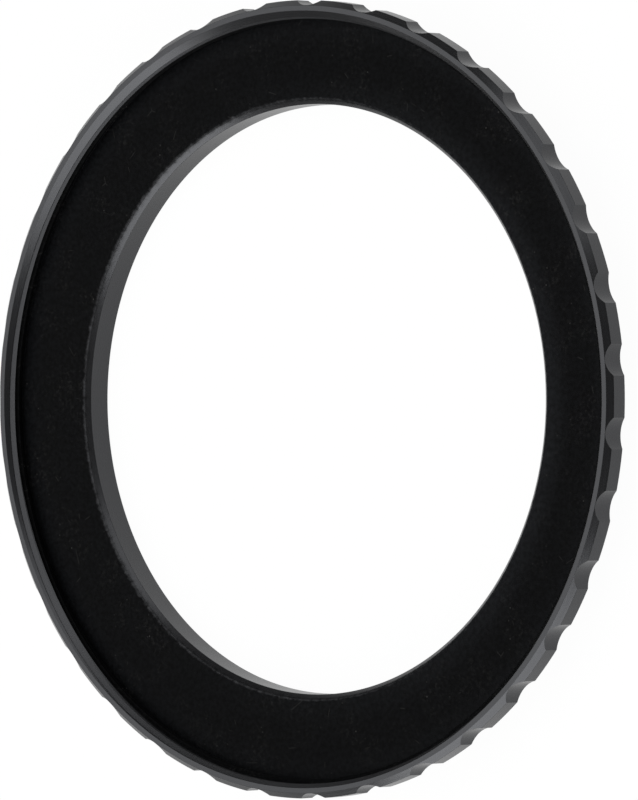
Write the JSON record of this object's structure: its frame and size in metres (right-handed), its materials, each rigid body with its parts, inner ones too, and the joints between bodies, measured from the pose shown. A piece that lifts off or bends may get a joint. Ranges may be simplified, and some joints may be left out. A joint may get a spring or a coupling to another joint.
{
  "type": "step-up ring",
  "caption": "Flat threaded adapter ring with a scalloped grip; its male thread screws into a lens and its wider female thread takes a filter.",
  "frame": {"origin": "centre of the end of the male thread, on the surface that the ring lies on", "axes": "+Z along the ring's axis, from the male thread towards the female thread"},
  "size_m": [0.0852, 0.0852, 0.0062],
  "materials": {
    "anodised_aluminium": "satin black anodised"
  },
  "bodies": {
    "root": {"step_up_ring": "anodised_aluminium"}
  },
  "joints": []
}
